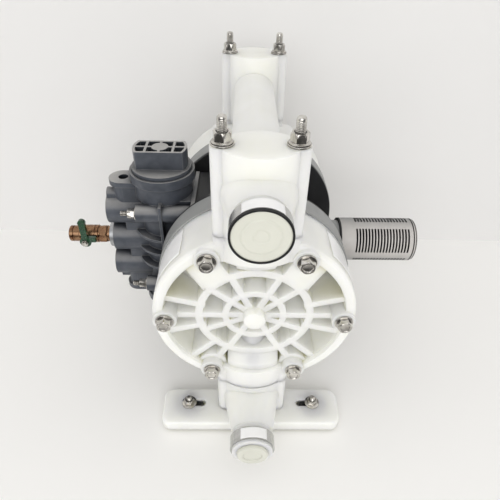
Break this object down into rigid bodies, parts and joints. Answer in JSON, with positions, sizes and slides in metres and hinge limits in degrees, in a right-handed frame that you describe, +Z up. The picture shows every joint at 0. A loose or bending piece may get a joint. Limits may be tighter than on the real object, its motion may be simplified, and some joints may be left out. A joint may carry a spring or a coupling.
{
  "type": "air operated diaphragm pump",
  "caption": "Plastic air operated double diaphragm pump with twin ribbed chambers, top and bottom manifolds, side air valve, inlet ball valve, slotted silencer and cushioned feet.",
  "frame": {"origin": "on the floor under the middle of the pump, at the centre of its four cushions", "axes": "+Z up; the diaphragm shaft lies along Y and both ports point to -Y; the air valve is on the -X side and the silencer on the +X side"},
  "size_m": [0.399, 0.3473, 0.365],
  "materials": {
    "white_polypropylene": "satin",
    "grey_polypropylene": "satin",
    "black_polypropylene": "matt",
    "slate_polypropylene": "satin",
    "stainless_steel": "bright",
    "black_rubber": "matt",
    "ptfe": "satin",
    "natural_polypropylene": "satin",
    "aluminium": "machined",
    "acetal": "satin",
    "brass": "bright",
    "chrome": "polished",
    "green_enamel": "gloss",
    "porous_plastic": "matt"
  },
  "bodies": {
    "pump": {"air_chamber_front": "grey_polypropylene", "air_chamber_rear": "grey_polypropylene", "air_valve_body": "slate_polypropylene", "ball_cages": "natural_polypropylene", "centre_body": "black_polypropylene", "chamber_bolts": "stainless_steel", "chamber_nuts": "stainless_steel", "cock_body": "brass", "cock_end": "brass", "cushion_nuts": "stainless_steel", "cushion_studs": "stainless_steel", "diaphragm_front": "ptfe", "diaphragm_rear": "ptfe", "discharge_manifold": "white_polypropylene", "discharge_nuts": "stainless_steel", "discharge_port_ring": "stainless_steel", "discharge_studs": "stainless_steel", "discharge_washers": "stainless_steel", "exhaust_adaptor": "grey_polypropylene", "foot_cushions": "black_rubber", "foot_front": "white_polypropylene", "foot_rear": "white_polypropylene", "inlet_washer": "ptfe", "liquid_chamber_front": "white_polypropylene", "liquid_chamber_rear": "white_polypropylene", "seat_o_rings": "black_rubber", "shaft_bushes": "acetal", "shaft_seals": "black_rubber", "silencer_body": "grey_polypropylene", "silencer_core": "porous_plastic", "silencer_end": "grey_polypropylene", "silencer_gasket": "black_rubber", "suction_bolts": "stainless_steel", "suction_manifold": "white_polypropylene", "suction_port_ring": "stainless_steel", "valve_cap_lower": "slate_polypropylene", "valve_cap_o_rings": "black_rubber", "valve_cap_upper": "slate_polypropylene", "valve_gasket": "black_rubber", "valve_nuts": "stainless_steel", "valve_seats": "natural_polypropylene", "valve_sleeve": "aluminium", "valve_studs": "stainless_steel"},
    "shaft_assembly": {"diaphragm_shaft": "stainless_steel", "inner_discs": "aluminium", "outer_discs": "aluminium"},
    "spool": {"valve_spool": "aluminium"},
    "pin_front": {"pilot_pin_front": "stainless_steel"},
    "pin_rear": {"pilot_pin_rear": "stainless_steel"},
    "low_ball_front": {"suction_ball_front": "ptfe"},
    "low_ball_rear": {"suction_ball_rear": "ptfe"},
    "high_ball_front": {"discharge_ball_front": "ptfe"},
    "high_ball_rear": {"discharge_ball_rear": "ptfe"},
    "inlet_lever": {"cock_ball": "chrome", "cock_stem": "stainless_steel", "cock_handle": "green_enamel", "handle_nut": "stainless_steel"},
    "outlet_cap": {"discharge_port_cap": "white_polypropylene", "discharge_cap_ring": "black_rubber"},
    "inlet_cap": {"suction_port_cap": "white_polypropylene"}
  },
  "joints": [
    {"name": "shaft_stroke", "type": "slide", "parent": "pump", "child": "shaft_assembly", "axis": [0, 1, 0], "range_m": [-0.008, 0.008], "deforming": ["diaphragm_front", "diaphragm_rear"]},
    {"name": "spool_shift", "type": "slide", "parent": "pump", "child": "spool", "axis": [0, 0, 1], "range_m": [-0.009, 0.009]},
    {"name": "pin_front_push", "type": "slide", "parent": "pump", "child": "pin_front", "axis": [0, 1, 0], "range_m": [0, 0.004]},
    {"name": "pin_rear_push", "type": "slide", "parent": "pump", "child": "pin_rear", "axis": [0, -1, 0], "range_m": [0, 0.004]},
    {"name": "low_ball_front_lift", "type": "slide", "parent": "pump", "child": "low_ball_front", "axis": [0, 0, 1], "range_m": [0, 0.006]},
    {"name": "low_ball_rear_lift", "type": "slide", "parent": "pump", "child": "low_ball_rear", "axis": [0, 0, 1], "range_m": [0, 0.006]},
    {"name": "high_ball_front_lift", "type": "slide", "parent": "pump", "child": "high_ball_front", "axis": [0, 0, 1], "range_m": [0, 0.006]},
    {"name": "high_ball_rear_lift", "type": "slide", "parent": "pump", "child": "high_ball_rear", "axis": [0, 0, 1], "range_m": [0, 0.006]},
    {"name": "inlet_lever_turn", "type": "hinge", "parent": "pump", "child": "inlet_lever", "pos_m": [-0.18988, 0, 0.172], "axis": [0, -1, 0], "range_deg": [0, 90]},
    {"name": "outlet_cap_pull", "type": "slide", "parent": "pump", "child": "outlet_cap", "axis": [0, -1, 0], "range_m": [0, 0.06]},
    {"name": "inlet_cap_pull", "type": "slide", "parent": "pump", "child": "inlet_cap", "axis": [0, -1, 0], "range_m": [0, 0.06]}
  ]
}
